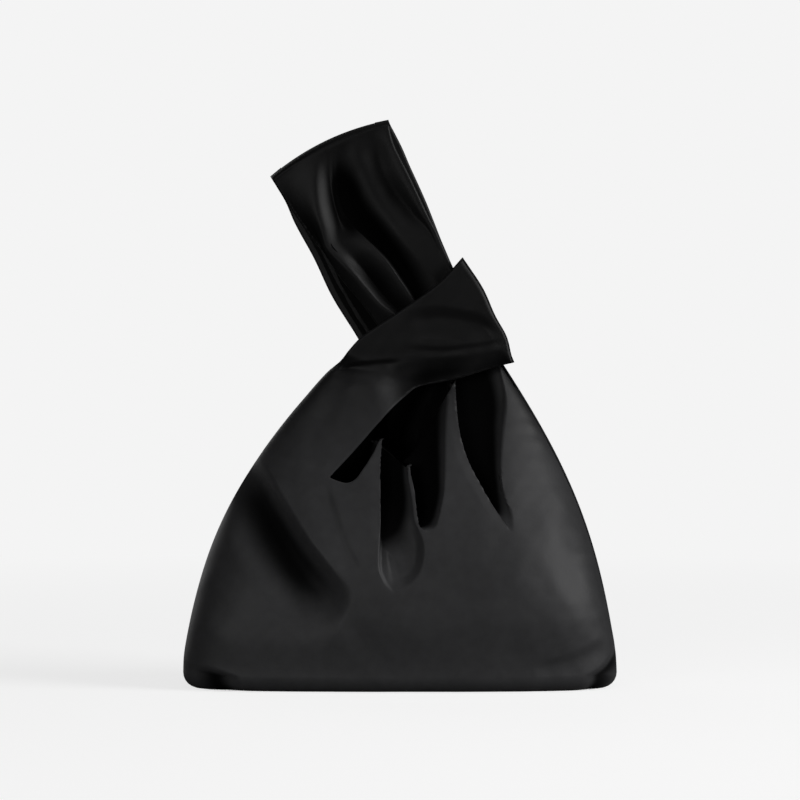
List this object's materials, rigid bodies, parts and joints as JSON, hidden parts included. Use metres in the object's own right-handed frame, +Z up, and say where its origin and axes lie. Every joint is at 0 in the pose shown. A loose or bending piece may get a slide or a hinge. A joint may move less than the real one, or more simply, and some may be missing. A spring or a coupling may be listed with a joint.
{
  "type": "knot bag",
  "caption": "Lined black cloth bag with a long strap that passes through a short loop, so that pulling the strap draws the mouth shut and makes a wrist handle.",
  "frame": {"origin": "middle of the underside of the base, on the surface that the bag stands on", "axes": "+X to the right of the bag's front, +Y to its back, +Z up"},
  "size_m": [0.26, 0.102, 0.3416],
  "materials": {
    "satin": "soft satin sheen",
    "lining": "smooth lining cloth",
    "interlining": "matt felted wadding",
    "board": "matt pressed fibre board"
  },
  "bodies": {
    "bag": {"shell_front": "satin", "shell_back": "satin", "shell_base": "satin", "interlining_front": "interlining", "interlining_back": "interlining", "lining_front": "lining", "lining_back": "lining", "base_board": "board", "lining_base": "lining"},
    "short_loop": {"short_loop_front": "satin", "short_loop_back": "satin", "short_loop_interlining_front": "interlining", "short_loop_interlining_back": "interlining", "short_loop_lining_front": "lining", "short_loop_lining_back": "lining"},
    "strap_root": {"strap_root_front": "satin", "strap_root_back": "satin"},
    "wrist_loop": {"long_strap_front": "satin", "long_strap_back": "satin", "long_strap_interlining_front": "interlining", "long_strap_interlining_back": "interlining", "long_strap_lining_front": "lining", "long_strap_lining_back": "lining"}
  },
  "joints": [
    {"name": "knot_rock", "type": "hinge", "parent": "bag", "child": "short_loop", "pos_m": [0.0085, 0, 0.13], "axis": [0, 1, 0], "range_deg": [-12, 25]},
    {"name": "strap_draw", "type": "slide", "parent": "short_loop", "child": "strap_root", "axis": [-0.4321, 0, 0.9018], "range_m": [0, 0.02]},
    {"name": "wrist_loop_nod", "type": "hinge", "parent": "strap_root", "child": "wrist_loop", "pos_m": [-0.00117, 0, 0.24241], "axis": [0.7909, 0, 0.612], "range_deg": [-40, 40]}
  ]
}
